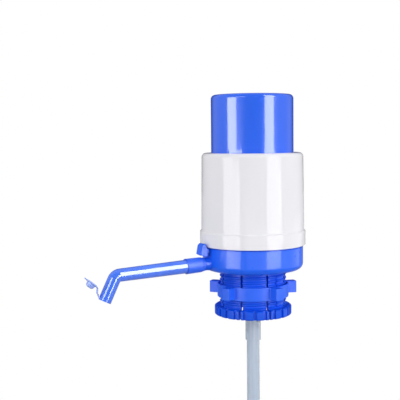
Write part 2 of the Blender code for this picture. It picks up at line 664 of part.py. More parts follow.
# --- Dip tube in three lengths with push-on couplings ----------------------------------------------------
def dip_tube():
    turned("tube_adapter", [
        (ADAPTER_R, ADAPTER_TOP_Z), (ADAPTER_R, ADAPTER_LOW_Z), (TUBE_R + GAP, ADAPTER_LOW_Z),
        (TUBE_R + GAP, ADAPTER_STOP_Z), (ADAPTER_BORE_R, ADAPTER_STOP_Z + 0.4),
        (ADAPTER_BORE_R, STUB_LOW_Z - 0.8),
        (STUB_R + GAP, STUB_LOW_Z - 0.4), (STUB_R + GAP, ADAPTER_TOP_Z)], CLEAR, steps=24, roughness=0.2)
    top = ADAPTER_STOP_Z - 2 * GAP
    names = ("dip_tube_upper", "dip_tube_middle", "dip_tube_lower")
    for name, low in zip(names, TUBE_ENDS_Z):
        tube = turned(name, [(TUBE_R, top), (TUBE_R, low), (TUBE_BORE_R, low), (TUBE_BORE_R, top)], CLEAR,
                      steps=20, roughness=0.2)
        top = low - 2 * GAP
    notches = Matrix.Translation((0, 0, TUBE_ENDS_Z[-1]))
    cut_cross(tube, "intake_notches", notches, (3 * TUBE_R, NOTCH_WIDTH, NOTCH_HEIGHT))
    bore = TUBE_R + GAP
    for name, middle in zip(("tube_coupling_upper", "tube_coupling_lower"), TUBE_ENDS_Z):
        high, low = middle + COUPLING_HALF, middle - COUPLING_HALF
        turned(name, [(COUPLING_R, high), (COUPLING_R, low), (bore, low), (bore, high)], CLEAR, steps=20,
               roughness=0.2)


# --- Spout: sleeve, bent tube with tether lug, ring seal ---------------------------------------------------
def spout_path():
    """Centreline of the bent tube in its own plane, as (along, up, radius), from sleeve to mouth."""
    turn = math.radians(SPOUT_TURN_DEG)
    setback = SPOUT_BEND_R * math.tan(turn / 2)
    points = [(SPOUT_START, 0.0, SPOUT_R)]
    steps = 6
    for i in range(steps + 1):
        a = turn * i / steps
        x = SPOUT_CORNER - setback + SPOUT_BEND_R * math.sin(a)
        points.append((x, -SPOUT_BEND_R * (1 - math.cos(a)), SPOUT_CORNER_R))
    points.append((SPOUT_CORNER + SPOUT_LEG * math.cos(turn), -SPOUT_LEG * math.sin(turn), SPOUT_MOUTH_R))
    return points


def mouth_frame():
    """World matrix at the mouth's centre: X out of the mouth, Z towards the tether, Y across."""
    x, up, _ = spout_path()[-1]
    place = Matrix.Translation(spout_point(x, up) * MM) @ SPOUT_DIRECTION
    return place @ Matrix.Rotation(math.radians(SPOUT_TURN_DEG), 4, "Y")


def spout():
    empty = holder("spout_swivel", Matrix.Translation(SPOUT_ROOT * MM) @ SPOUT_DIRECTION)
    curve = bpy.data.curves.new("spout_tube", "CURVE")
    curve.dimensions = "3D"
    curve.bevel_depth = MM
    curve.bevel_resolution = 6
    spline = curve.splines.new("POLY")
    path = spout_path()
    spline.points.add(len(path) - 1)
    for point, (x, up, radius) in zip(spline.points, path):
        point.co = (x * MM, 0, up * MM, 1)
        point.radius = radius
    tube = placed("spout_tube", mesh_of_curve("spout_tube", curve), BLUE, roughness=0.18)
    wall = tube.modifiers.new("wall", "SOLIDIFY")
    wall.thickness = SPOUT_WALL * MM
    wall.offset = -1
    wall.use_rim = True
    tube.parent = empty
    foot = SPOUT_MOUTH_R - 0.6
    lug = slab("tether_lug", [
        (-2.9, foot), (-0.5, foot), (-1.2, HINGE_OUT - 3.3), (1.0 - HINGE_BACK, HINGE_OUT - 1.7),
        (0.2 - HINGE_BACK, HINGE_OUT - 1.6), (-3.3, HINGE_OUT - 3.3)],
        STRAP_WIDTH, mouth_frame() @ Matrix.Rotation(math.pi / 2, 4, "X"))
    join(tube, lug)
    sleeve = turned("spout_sleeve", [
        (SLEEVE_R - 0.35, SLEEVE_START), (SLEEVE_R, SLEEVE_END), (SPOUT_R + GAP, SLEEVE_END),
        (SPOUT_R + GAP, SPOUT_START - 0.4), (NIPPLE_R + 0.25, SPOUT_START - 0.4),
        (NIPPLE_R + 0.25, SLEEVE_START)][::-1], SOFT_BLUE, steps=24, roughness=0.25)
    sleeve.parent = empty
    sleeve.rotation_euler = (0, math.pi / 2, 0)
    ring = ring_seal("spout_ring_seal", 5.55, 0.42, 0.0, 16, sides=6)
    ring.matrix_world = along_spout(SPOUT_SEAL_AT)


def spout_cap():
    """Disc, plug and strap, built closed over the mouth and turned open about the tether's hinge."""
    hinge = mouth_frame() @ Matrix.Translation((-HINGE_BACK * MM, 0, HINGE_OUT * MM))
    empty = holder("spout_cap_hinge", hinge @ Matrix.Rotation(math.radians(-CAP_OPEN_DEG), 4, "Y"))
    low = HINGE_BACK + CAP_DISC_LOW
    top = low + CAP_DISC_THICK
    cap = turned("spout_cap", [
        (0, low - CAP_PLUG_LENGTH + 1.2), (1.6, low - CAP_PLUG_LENGTH + 1.5), (2.7, low - 1.2), (3.0, top),
        (CAP_DISC_R - 0.6, top), (CAP_DISC_R, top - 0.5), (CAP_DISC_R, low + 0.3), (CAP_DISC_R - 0.3, low),
        (CAP_PLUG_R, low), (CAP_PLUG_R - 0.42, low - 1.2), (CAP_PLUG_R - 0.65, low - 2.4),
        (CAP_PLUG_R - 1.35, low - 3.4), (CAP_PLUG_R - 2.7, low - CAP_PLUG_LENGTH + 0.05), (0, low - CAP_PLUG_LENGTH)],
        PALE_BLUE, steps=20, roughness=0.25)
    cap.parent = empty
    cap.location = (0, 0, -HINGE_OUT * MM)
    cap.rotation_euler = (0, math.pi / 2, 0)
    middle = low + CAP_DISC_THICK / 2
    half = STRAP_THICK / 2
    rim = -HINGE_OUT + CAP_DISC_R
    closed = empty.matrix_world @ Matrix.Rotation(math.pi / 2, 4, "X")
    strap = slab("cap_strap", [
        (middle - half, rim - 1.0), (middle + half, rim - 1.0), (middle + half, rim + 1.3), (3.4, -1.3),
        (0.7, 0.4), (0.0, 0.5), (-0.4, 0.0), (-0.2, -0.5), (2.6, -2.1), (middle - half, rim + 0.6)],
        STRAP_WIDTH, closed)
    far_rim = -HINGE_OUT - CAP_DISC_R
    tab = slab("cap_tab", [(middle - half, far_rim + 1), (middle - half, far_rim - TAB_LENGTH),
                           (middle + half, far_rim - TAB_LENGTH), (middle + half, far_rim + 1)],
               TAB_WIDTH, closed)
    join(cap, strap, tab)


# --- Release lever, its pin, spring and vent plug -----------------------------------------------------------
def release_lever():
    side = [(-50.3, 27.3), (-50.3, 24.4), (-51.1, 23.2), (-51.1, 19.8), (-55.4, 19.7), (-56.9, 20.5),
            (-59.4, 22.3), (-57.9, 29.2), (-57.3, 30.8), (-56.0, 31.8), (-54.6, 32.0), (-53.6, 31.2),
            (-52.8, 28.2), (-52.4, 27.3)]
    lever = slab("release_lever", side, 2 * LEVER_HALF_WIDTH, upright(0.0), BLUE)
    pocket = slab("lever_pocket", [(-54.2, 19.0), (-58.0, 19.0), (-58.0, 22.3), (-56.2, 30.2), (-54.2, 30.2)],
                  7.8, upright(0.0))
    slot = boxes("lever_slot", [Matrix.Translation((-51.0, 0, 25.3))], (6.4, 3.8, 6.6))
    hole = rod("lever_pin_hole", PIN_R + GAP, (PIVOT_X, -8, PIVOT_Z), (PIVOT_X, 8, PIVOT_Z), sides=SMALL)
    cut(lever, pocket, slot, hole)
    pivot = holder("lever_pivot", Matrix.Translation((PIVOT_X * MM, 0, PIVOT_Z * MM)))
    rod("lever_pin", PIN_R, (PIVOT_X, -PIN_HALF, PIVOT_Z), (PIVOT_X, PIN_HALF, PIVOT_Z), STEEL, sides=SMALL,
        roughness=0.3, metallic=1.0)
    plug = rod("vent_plug", PLUG_R, (-BASE_R - GAP, 0, VENT_Z), (-BASE_R - 1.8, 0, VENT_Z), BLACK, sides=SMALL,
               roughness=0.6)
    for thing in (lever, plug):
        thing.parent = pivot
        thing.matrix_parent_inverse = pivot.matrix_world.inverted()
    spring = coil("lever_spring", 0.0, 2.7, 1.25, 0.22, 3, Vector((0, 0, 0)), STEEL, per_turn=8)
    spring.location = (-53.3 * MM, 0, 26.4 * MM)
    spring.rotation_euler = (0, -math.pi / 2, 0)


base_housing()
pump_barrel()
ring_seal("barrel_seal", 44.4, 1.05, 23.65, ROUND, sides=6)
cover_shell()
outlet_valve()
press_cap()
neck_collet()
locking_ring()
dip_tube()
spout()
spout_cap()
release_lever()
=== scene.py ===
"""Looks of the bottle hand pump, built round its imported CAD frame.

The scene is in metres, and outlines are in millimetres until MM scales them. +Z is up along the pump's
axis, the origin is on the axis at the plane of the bottle's rim, and the spout runs towards -X.
"""

import json
import math

import bmesh
import bpy
from mathutils import Matrix, Vector


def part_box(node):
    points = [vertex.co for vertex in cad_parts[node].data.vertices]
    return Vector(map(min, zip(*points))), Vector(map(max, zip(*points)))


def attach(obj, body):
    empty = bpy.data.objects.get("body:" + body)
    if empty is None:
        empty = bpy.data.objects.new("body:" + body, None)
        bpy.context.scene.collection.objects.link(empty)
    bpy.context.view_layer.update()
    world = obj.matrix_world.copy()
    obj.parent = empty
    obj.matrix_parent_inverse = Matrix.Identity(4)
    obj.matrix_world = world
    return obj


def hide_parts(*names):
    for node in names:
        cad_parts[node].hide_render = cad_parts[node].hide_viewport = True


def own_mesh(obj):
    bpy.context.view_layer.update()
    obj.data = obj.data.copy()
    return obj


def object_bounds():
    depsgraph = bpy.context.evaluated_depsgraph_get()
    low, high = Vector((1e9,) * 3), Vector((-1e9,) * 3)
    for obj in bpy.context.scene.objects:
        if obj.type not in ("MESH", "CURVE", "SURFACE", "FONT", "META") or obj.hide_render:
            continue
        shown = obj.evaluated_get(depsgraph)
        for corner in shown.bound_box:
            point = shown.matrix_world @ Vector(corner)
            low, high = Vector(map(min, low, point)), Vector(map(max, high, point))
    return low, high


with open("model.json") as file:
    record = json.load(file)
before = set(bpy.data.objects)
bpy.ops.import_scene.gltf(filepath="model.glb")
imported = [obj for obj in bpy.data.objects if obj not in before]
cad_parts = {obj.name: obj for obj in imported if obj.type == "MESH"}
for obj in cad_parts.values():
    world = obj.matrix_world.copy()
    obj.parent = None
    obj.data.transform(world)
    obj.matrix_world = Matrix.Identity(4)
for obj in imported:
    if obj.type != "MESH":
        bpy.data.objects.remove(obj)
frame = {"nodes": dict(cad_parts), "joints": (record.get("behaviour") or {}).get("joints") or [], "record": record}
CAD_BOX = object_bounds()
MM = 0.001
SKIN_MM = 0.02  # how far a fine surface stays inside the CAD node it stands for
SMOOTH_DEG = 32  # faces that meet at less than this are shaded as one surface
CAD_SMOOTH_DEG = 35  # the same for the CAD nodes that stay
SAME_POINT = 1e-7  # metres: points closer than this are one
CURVE_WELD = 1e-6  # metres: the same where a curve's fill meets its bevel


# --- Mesh helpers -----------------------------------------------------------------------------
def evaluated_mesh(thing):
    """A new mesh from an object or curve, with its modifiers applied."""
    bpy.context.view_layer.update()
    depsgraph = bpy.context.evaluated_depsgraph_get()
    return bpy.data.meshes.new_from_object(thing.evaluated_get(depsgraph))


def apply_modifiers(piece):
    mesh = evaluated_mesh(piece)
    piece.modifiers.clear()
    piece.data = mesh


def link(thing):
    bpy.context.scene.collection.objects.link(thing)


def settle_normals(piece):
    """Lets large faces set the normals at their edges, so that walls stay straight beside fillets."""
    step = piece.modifiers.new("normals", "WEIGHTED_NORMAL")
    step.keep_sharp = True
    apply_modifiers(piece)


def finish_mesh(name, mesh, body, slot, nodes=(), sharp_deg=SMOOTH_DEG):
    """Links a mesh as a piece that rides on a body, stands for CAD nodes and takes a material slot."""
    mesh.shade_smooth()
    mesh.set_sharp_from_angle(angle=math.radians(sharp_deg))
    piece = bpy.data.objects.new(name, mesh)
    link(piece)
    mesh.materials.append(MATERIALS[slot])
    settle_normals(piece)
    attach(piece, body)
    if nodes:
        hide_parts(*nodes)
    return piece


def mesh_from(name, build):
    """A mesh from a bmesh, with its faces turned outwards."""
    bmesh.ops.recalc_face_normals(build, faces=build.faces)
    mesh = bpy.data.meshes.new(name)
    build.to_mesh(mesh)
    build.free()
    return mesh


def rounded(corners, arc_steps=5):
    """A closed outline whose corners (a, b) or (a, b, fillet radius) are rounded."""
    count = len(corners)
    points = []
    for i, corner in enumerate(corners):
        here = Vector(corner[:2])
        radius = corner[2] if len(corner) > 2 else 0.0
        before = Vector(corners[i - 1][:2]) - here
        after = Vector(corners[(i + 1) % count][:2]) - here
        if radius <= 0:
            points.append(here)
            continue
        half = before.angle(after) / 2
        longest = 0.49 * min(before.length, after.length)
        reach = min(radius / math.tan(half), longest)
        radius = reach * math.tan(half)
        start = here + before.normalized() * reach
        end = here + after.normalized() * reach
        inwards = (before.normalized() + after.normalized()).normalized()
        centre = here + inwards * (radius / math.sin(half))
        first = math.atan2(start.y - centre.y, start.x - centre.x)
        last = math.atan2(end.y - centre.y, end.x - centre.x)
        span = (last - first + math.pi) % math.tau - math.pi
        for k in range(arc_steps + 1):
            a = first + span * k / arc_steps
            points.append(centre + Vector((math.cos(a), math.sin(a))) * radius)
    return points


def turn_into(build, outline, steps=128, place=Matrix.Identity(4)):
    """Adds a closed (radius, height) outline in millimetres, turned about Z, to a bmesh."""
    outline = [Vector(p) * MM for p in outline]
    rings = []
    for i in range(steps):
        a = math.tau * i / steps
        ring = []
        for r, z in outline:
            ring.append(build.verts.new(place @ Vector((r * math.cos(a), r * math.sin(a), z))))
        rings.append(ring)
    count = len(outline)
    for i in range(steps):
        here, there = rings[i], rings[(i + 1) % steps]
        for j in range(count):
            k = (j + 1) % count
            if outline[j].x < SAME_POINT and outline[k].x < SAME_POINT:
                continue  # an edge on the axis sweeps no face
            build.faces.new((here[j], there[j], there[k], here[k]))
    on_axis = [v for ring in rings for v, p in zip(ring, outline) if p.x < SAME_POINT]
    bmesh.ops.remove_doubles(build, verts=on_axis, dist=SAME_POINT)


def turned(name, corners, body, slot, nodes=(), steps=128, arc_steps=5, place=Matrix.Identity(4)):
    """A turned piece from the corners of its outline."""
    build = bmesh.new()
    turn_into(build, rounded(corners, arc_steps), steps, place)
    return finish_mesh(name, mesh_from(name, build), body, slot, nodes)


def loft_into(build, sections, closed_ends=True):
    """Skins a list of closed sections, each a list of the same number of points in metres."""
    rings = [[build.verts.new(p) for p in section] for section in sections]
    count = len(rings[0])
    for low, high in zip(rings, rings[1:]):
        for j in range(count):
            k = (j + 1) % count
            build.faces.new((low[j], low[k], high[k], high[j]))
    if closed_ends:
        build.faces.new(rings[0][::-1])
        build.faces.new(rings[-1])


def outline_solid(name, outlines, height, edge, place, arc_steps=4):
    """A flat solid, the first outline outside and the rest holes, with rounded edges all round."""
    curve = bpy.data.curves.new(name, "CURVE")
    curve.dimensions = "2D"
    curve.fill_mode = "BOTH"
    curve.extrude = (height / 2 - edge) * MM
    curve.bevel_depth = edge * MM
    curve.bevel_resolution = arc_steps
    curve.offset = -edge * MM
    for outline in outlines:
        spline = curve.splines.new("POLY")
        spline.points.add(len(outline) - 1)
        for point, (x, y) in zip(spline.points, outline):
            point.co = (x * MM, y * MM, 0, 1)
        spline.use_cyclic_u = True
    guide = bpy.data.objects.new(name + "_guide", curve)
    link(guide)
    mesh = evaluated_mesh(guide)
    bpy.data.objects.remove(guide, do_unlink=True)
    build = bmesh.new()
    build.from_mesh(mesh)
    bmesh.ops.remove_doubles(build, verts=build.verts, dist=CURVE_WELD)
    bmesh.ops.transform(build, matrix=place, verts=build.verts)
    bmesh.ops.recalc_face_normals(build, faces=build.faces)
    build.to_mesh(mesh)
    build.free()
    mesh.name = name
    return mesh


def boolean(piece, cutter_mesh, operation="DIFFERENCE"):
    """Cuts a mesh out of a piece, or joins it on."""
    other = bpy.data.objects.new("cutter", cutter_mesh)
    link(other)
    step = piece.modifiers.new("cut", "BOOLEAN")
    step.operation = operation
    step.solver = "EXACT"
    step.object = other
    apply_modifiers(piece)
    bpy.data.objects.remove(other, do_unlink=True)
    piece.data.shade_smooth()
    piece.data.set_sharp_from_angle(angle=math.radians(SMOOTH_DEG))
    settle_normals(piece)


# --- Materials --------------------------------------------------------------------------------
CAP_BLUE = (0.020, 0.130, 0.880)
BASE_BLUE = (0.008, 0.125, 0.920)
# The collet's blue plastic, made darker than the base's blue as painted shade of the base drum that overhangs it
COLLET_BLUE_WITH_PAINTED_SHADE = (0.001, 0.082, 0.740)
RING_BLUE = (0.010, 0.120, 0.880)
SPOUT_BLUE = (0.060, 0.190, 0.920)
SLEEVE_BLUE = (0.035, 0.150, 0.930)
PALE_BLUE = (0.300, 0.420, 0.920)
SHELL_WHITE = (0.800, 0.795, 0.832)
NATURAL = (0.720, 0.720, 0.680)
STEEL = (0.580, 0.585, 0.600)
BLACK = (0.018, 0.018, 0.018)
TUBE_DARK = (0.70, 0.81, 0.95)
TUBE_MIDDLE = (0.80, 0.88, 0.98)
TUBE_LIGHT = (0.84, 0.91, 1.0)


def new_material(name, base, roughness, **sockets):
    """A Principled material; other sockets are given by name with underscores for spaces."""
    made = bpy.data.materials.new(name)
    made.use_nodes = True
    tree = made.node_tree
    shader = tree.nodes["Principled BSDF"]
    shader.inputs["Base Color"].default_value = (*base, 1.0)
    shader.inputs["Roughness"].default_value = roughness
    for socket, value in sockets.items():
        shader.inputs[socket.replace("_", " ")].default_value = value
    return made, tree, shader


def noise(tree, scale, detail=3.0, stretch=(1.0, 1.0, 1.0)):
    """A noise texture in object coordinates; scale is in features per metre."""
    coords = tree.nodes.new("ShaderNodeTexCoord")
    mapping = tree.nodes.new("ShaderNodeMapping")
    mapping.inputs["Scale"].default_value = stretch
    texture = tree.nodes.new("ShaderNodeTexNoise")
    texture.inputs["Scale"].default_value = scale
    texture.inputs["Detail"].default_value = detail
    tree.links.new(coords.outputs["Object"], mapping.inputs["Vector"])
    tree.links.new(mapping.outputs["Vector"], texture.inputs["Vector"])
    return texture.outputs["Fac"]


def ramp(tree, value, low, high):
    """Maps the middle of a noise, where most of its values lie, onto a range of numbers."""
    node = tree.nodes.new("ShaderNodeMapRange")
    node.inputs["From Min"].default_value = 0.3
    node.inputs["From Max"].default_value = 0.7
    node.inputs["To Min"].default_value = low
    node.inputs["To Max"].default_value = high
    tree.links.new(value, node.inputs["Value"])
    return node.outputs["Result"]


def mixed(tree, factor, first, second):
    """A colour between two, by a factor."""
    node = tree.nodes.new("ShaderNodeMix")
    node.data_type = "RGBA"
    node.inputs["A"].default_value = (*first, 1.0)
    node.inputs["B"].default_value = (*second, 1.0)
    tree.links.new(factor, node.inputs["Factor"])
    return node.outputs["Result"]


def bump(tree, shader, height, distance, chain=None):
    """Relief of a height map, this many metres deep, over another bump where one is given."""
    node = tree.nodes.new("ShaderNodeBump")
    node.inputs["Strength"].default_value = 1.0
    node.inputs["Distance"].default_value = distance
    tree.links.new(height, node.inputs["Height"])
    if chain is not None:
        tree.links.new(chain, node.inputs["Normal"])
    tree.links.new(node.outputs["Normal"], shader.inputs["Normal"])
    return node.outputs["Normal"]


def moulded(name, base, roughness, shade=0.06, ripple=0.012, grain=0.0016, **sockets):
    """Injection-moulded plastic: flow shade, roughness drift, faint sink ripple and fine grain.

    ripple and grain are depths in millimetres, and shade is how far the colour drifts.
    """
    made, tree, shader = new_material(name, base, roughness, **sockets)
    darker = tuple(c * (1 - shade) for c in base)
    lighter = tuple(min(1.0, c * (1 + shade)) for c in base)
    flow = noise(tree, 22.0, 2.0, (1.0, 1.0, 0.35))
    colour = mixed(tree, ramp(tree, flow, 0.0, 1.0), darker, lighter)
    tree.links.new(colour, shader.inputs["Base Color"])
    drift = noise(tree, 60.0, 4.0)
    tree.links.new(ramp(tree, drift, roughness * 0.86, roughness * 1.14), shader.inputs["Roughness"])
    wave = bump(tree, shader, noise(tree, 35.0, 1.0), ripple * MM)
    if grain:
        bump(tree, shader, noise(tree, 2600.0, 2.0), grain * MM, wave)
    return made


def metal(name, base, roughness):
    """Drawn spring wire: streaks along it and a dull tarnish."""
    made, tree, shader = new_material(name, base, roughness, Metallic=1.0)
    streak = noise(tree, 900.0, 3.0, (1.0, 1.0, 0.15))
    tree.links.new(ramp(tree, streak, roughness * 0.7, roughness * 1.35), shader.inputs["Roughness"])
    tarnish = noise(tree, 120.0, 4.0)
    dull = tuple(c * 0.82 for c in base)
    colour = mixed(tree, ramp(tree, tarnish, 0.0, 1.0), dull, base)
    tree.links.new(colour, shader.inputs["Base Color"])
    bump(tree, shader, streak, 0.004 * MM)
    return made


def rubber(name, base, roughness):
    """Matt moulded rubber, slightly dusty."""
    made, tree, shader = new_material(name, base, roughness)
    dust = noise(tree, 300.0, 5.0)
    grey = tuple(c + 0.03 for c in base)
    colour = mixed(tree, ramp(tree, dust, 0.0, 1.0), base, grey)
    tree.links.new(colour, shader.inputs["Base Color"])
    rougher = min(1.0, roughness * 1.2)
    tree.links.new(ramp(tree, dust, roughness * 0.85, rougher), shader.inputs["Roughness"])
    bump(tree, shader, noise(tree, 1800.0, 4.0), 0.01 * MM)
    return made


def clear_tube(name):
    """Milky extruded tube: light passes through, with faint draw lines along it."""
    made, tree, shader = new_material(name, TUBE_MIDDLE, 0.16, Transmission_Weight=0.55, IOR=1.49)
    lines = noise(tree, 500.0, 2.0, (1.0, 1.0, 0.02))
    colour = mixed(tree, ramp(tree, lines, 0.0, 1.0), TUBE_DARK, TUBE_LIGHT)
    tree.links.new(colour, shader.inputs["Base Color"])
    tree.links.new(ramp(tree, lines, 0.10, 0.22), shader.inputs["Roughness"])
    bump(tree, shader, lines, 0.01 * MM)
    return made


MATERIALS = {
    "cap_blue": moulded("cap_blue", CAP_BLUE, 0.24, ripple=0.003, grain=0.0,
                        Specular_IOR_Level=0.30, Coat_Weight=0.75, Coat_Roughness=0.03),
    "base_blue": moulded("base_blue", BASE_BLUE, 0.30, ripple=0.003, grain=0.0,
                         Specular_IOR_Level=0.22, Coat_Weight=0.22, Coat_Roughness=0.04),
    # Collet colour: its own blue plus painted shade from the base drum above it
    "collet_blue": moulded("collet_blue", COLLET_BLUE_WITH_PAINTED_SHADE, 0.34, grain=0.0, Specular_IOR_Level=0.16),
    "ring_blue": moulded("ring_blue", RING_BLUE, 0.40, grain=0.0, Specular_IOR_Level=0.26),
    "spout_blue": moulded("spout_blue", SPOUT_BLUE, 0.10, ripple=0.0005, grain=0.0,
                          Specular_IOR_Level=0.90, Coat_Weight=0.3, Coat_Roughness=0.08),
    "sleeve_blue": moulded("sleeve_blue", SLEEVE_BLUE, 0.42, ripple=0.004, grain=0.0,
                           Specular_IOR_Level=0.30),
    "cap_pale": moulded("cap_pale", PALE_BLUE, 0.34,
                        Subsurface_Weight=0.25, Subsurface_Scale=0.002),
    "shell_white": moulded("shell_white", SHELL_WHITE, 0.05, shade=0.012, ripple=0.003, grain=0.0,
                           Specular_IOR_Level=0.15),
    "natural_plastic": moulded("natural_plastic", NATURAL, 0.36, shade=0.03),
    "clear_tube": clear_tube("clear_tube"),
    "seal_rubber": rubber("seal_rubber", BLACK, 0.6),
    "steel": metal("steel", STEEL, 0.28),
}


# --- Measures from the CAD, in millimetres ----------------------------------------------------
def radius_of(node):
    """A round node's outer radius, less the skin."""
    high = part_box(node)[1]
    return min(high.x, high.y) / MM - SKIN_MM


def heights_of(node):
    """The lowest and highest level of a node, less the skin."""
    low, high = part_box(node)
    return low.z / MM + SKIN_MM, high.z / MM - SKIN_MM


def joint(name):
    return next(j for j in frame["joints"] if j["name"] == name)


# --- Press cap --------------------------------------------------------------------------------
def make_press_cap():
    """A button with a rounded edge, a dished top and a guide for the return spring under it."""
    r = radius_of("press_cap")
    low, top = heights_of("press_cap")
    wall = 2.0
    dish = top - 0.7
    roof = top - 2.5
    guide_r, guide_bore, guide_end = 14.8, 12.8, roof - 20
    turned("press_cap_fine", [
        (0, dish), (r - 9.5, dish, 1.2), (r - 8.2, top, 1.2), (r, top, 4.2), (r, low, 0.3),
        (r - wall, low, 0.3), (r - wall, roof, 1.5), (guide_r, roof, 0.5),
        (guide_r, guide_end, 0.3), (guide_bore, guide_end, 0.3), (guide_bore, roof, 0.5),
        (0, roof)],
        "press_cap", "cap_blue", ["press_cap"], steps=160, arc_steps=8)


# --- Cover shell ------------------------------------------------------------------------------
def make_cover_shell():
    """The white shell: a wide band at the bottom, a tapered wall above it, and a mouth for the cap."""
    band = radius_of("cover_shell")
    low, top = heights_of("cover_shell")
    shoulder, body, mouth = 49.18, 50.03, 40.75
    wall = 2.0
    step_high, step_low = 42.7, 41.5
    turned("cover_shell_fine", [
        (mouth, top, 0.7), (shoulder, top, 6.5), (body, step_high, 0.5), (band, step_low, 0.6),
        (band, low, 0.6), (band - 3.25, low, 0.4), (shoulder - wall, top - wall, 4.5),
        (mouth, top - wall, 0.4)],
        "pump_body", "shell_white", ["cover_shell"], steps=160, arc_steps=9)


# --- Spout directions -------------------------------------------------------------------------
SPOUT_ROOT = Vector(joint("spout_swivel")["pos_m"])
SPOUT_AXIS = Vector(joint("spout_swivel")["axis"]).normalized()
SPOUT_UP = Vector((0, 1, 0)).cross(SPOUT_AXIS).normalized()
TURN = math.radians(61.6)  # how far the outlet bends down from the spout's axis
CORNER = 94.3  # mm from the root to where the two straight centrelines cross
LEG = 25.3  # mm from that crossing to the mouth
BEND = 6.4  # mm, radius of the bent centreline
OUTLET = SPOUT_AXIS * math.cos(TURN) - SPOUT_UP * math.sin(TURN)
OUTWARD = SPOUT_AXIS * math.sin(TURN) + SPOUT_UP * math.cos(TURN)
MOUTH = SPOUT_ROOT + SPOUT_AXIS * (CORNER * MM) + OUTLET * (LEG * MM)


def frame_at(point, forward, side):
    """A matrix at a point whose Z axis is forward and whose X axis is side."""
    z = forward.normalized()
    x = side.normalized()
    y = z.cross(x)
    return Matrix.Translation(point) @ Matrix((x, y, z)).transposed().to_4x4()


ALONG = frame_at(SPOUT_ROOT, SPOUT_AXIS, SPOUT_UP)


# --- Base housing -----------------------------------------------------------------------------
BASE_FLOOR = (4.0, 6.2)  # levels of its under side and its inside
INNER_BOSS = (13.5, 3.0, 14.0)  # distance from the axis, radius and top
OUTER_BOSS = (37.0, 4.0, 24.6)
BOSS_BORE = 1.7


def add_drum(build):
    """The cup of the base, with the narrower wall that the cover shell goes over."""
    low, floor = BASE_FLOOR
    r = 48.98
    wall_r, wall_inner, wall_top = 47.7, 46.4, 44.0
    ledge = 26.8
    drum = rounded([
        (wall_r, wall_top, 0.3), (wall_r, ledge, 0.2), (r, ledge, 0.3), (r, low, 6.5),
        (8.2, low, 0.3), (8.2, floor, 0.3), (46.0, floor, 1.0), (46.0, 17.5),
        (42.3, 20.8, 0.3), (42.3, 22.3, 0.3), (wall_inner, 22.3), (wall_inner, wall_top, 0.3)], 9)
    turn_into(build, drum, 160)


def add_spout_nipple(build):
    """The nipple that the spout turns on, and the duct to it from the middle."""
    nipple = rounded([
        (6.5, -1.0), (6.35, 0.25, 0.5), (6.15, 0.9, 0.6), (6.1, 5.0, 0.3), (5.8, 5.1),
        (5.8, 11.4, 0.6), (3.8, 11.4, 0.3), (3.8, -3.0), (6.5, -3.0)], 6)
    turn_into(build, nipple, 72, ALONG)
    duct = [(5.8, -3.0), (5.8, -49.0), (3.8, -49.0), (3.8, -3.0)]
    turn_into(build, duct, 48, ALONG)


def add_column(build):
    """The column in the middle, which ends below in the spigot for the tube adapter."""
    low = BASE_FLOOR[0]
    column = rounded([
        (0, 20.3), (7.5, 20.3, 0.6), (7.5, low + 0.1), (5.6, low), (5.6, -14.0, 0.4),
        (3.8, -14.0, 0.3), (3.8, 13.0), (0, 13.0)], 4)
    turn_into(build, column, 64)


def add_bosses(build):
    """Four hollow bosses in each of two rings on the base's floor."""
    foot = BASE_FLOOR[1] - 0.5
    for k in range(4):
        a = math.radians(45 + 90 * k)
        for distance, r, high in (INNER_BOSS, OUTER_BOSS):
            place = Matrix.Translation((distance * MM * math.cos(a), distance * MM * math.sin(a), 0))
            boss = rounded([(r, high, 0.4), (r, foot), (BOSS_BORE, foot), (BOSS_BORE, high, 0.2)], 3)
            turn_into(build, boss, 32, place)


def upright():
    """Sets an (x, z) outline upright in the plane of the spout."""
    return Matrix.Rotation(math.pi / 2, 4, "X")


def make_base_tongue():
    """The tongue that the release lever hooks over."""
    outline = rounded([(-47.5, 22.8), (-53.0, 22.8, 1.2), (-53.0, 27.1, 1.2), (-47.5, 27.1)], 5)
    tongue = outline_solid("base_tongue", [outline], 2.9, 0.3, upright())
    finish_mesh("base_tongue", tongue, "pump_body", "base_blue")


def make_base():
    build = bmesh.new()
    add_drum(build)
    add_spout_nipple(build)
    add_column(build)
    add_bosses(build)
    mesh = mesh_from("base_housing_fine", build)
    finish_mesh("base_housing_fine", mesh, "pump_body", "base_blue", ["base_housing"])
    make_base_tongue()


# --- Neck collet ------------------------------------------------------------------------------
SLOT_FIRST = math.radians(220.5)
SLOT_HALF = 1.0
FINGERS = 8
GROOVES_PER_FINGER = 3
GROOVE_HALF = 1.6  # measured round the crown's side
# (share of the half width, depth) from a groove's middle to its edge
GROOVE_SHAPE = ((0.0, 2.0), (0.62, 1.95), (0.78, 1.75), (0.86, 1.2), (0.93, 0.12), (1.0, 0.0))
THREAD_ROOT, THREAD_PITCH = 31.5, 4.2
# (level from a turn's middle, height over the root) down one turn of the thread
THREAD_SHAPE = ((1.35, 0.0), (0.75, 0.7), (0.45, 0.95), (-0.45, 0.95), (-0.75, 0.7), (-1.35, 0.0))
CROWN_R, CROWN_FACE_R = 37.65, 36.6
CROWN_TOP, CROWN_LOW = -31.6, -40.45


def crown_columns(edge_deg):
    """Angles across a finger, in degrees from its slot's middle, each with the depth cut there."""
    pitch = 360 / FINGERS
    groove_pitch = pitch / GROOVES_PER_FINGER
    half = math.degrees(GROOVE_HALF / CROWN_R)
    left = [(-share, cut) for share, cut in GROOVE_SHAPE[:0:-1]]
    found = [(edge_deg, 0.0)]
    for k in range(GROOVES_PER_FINGER):
        middle = groove_pitch * (k + 0.5)
        for share, cut in (*left, *GROOVE_SHAPE):
            found.append((middle + half * share, cut))
        if k < GROOVES_PER_FINGER - 1:
            for share in (0.35, 0.5, 0.65):
                found.append((middle + groove_pitch * share, 0.0))
    return found + [(pitch - edge_deg, 0.0)]


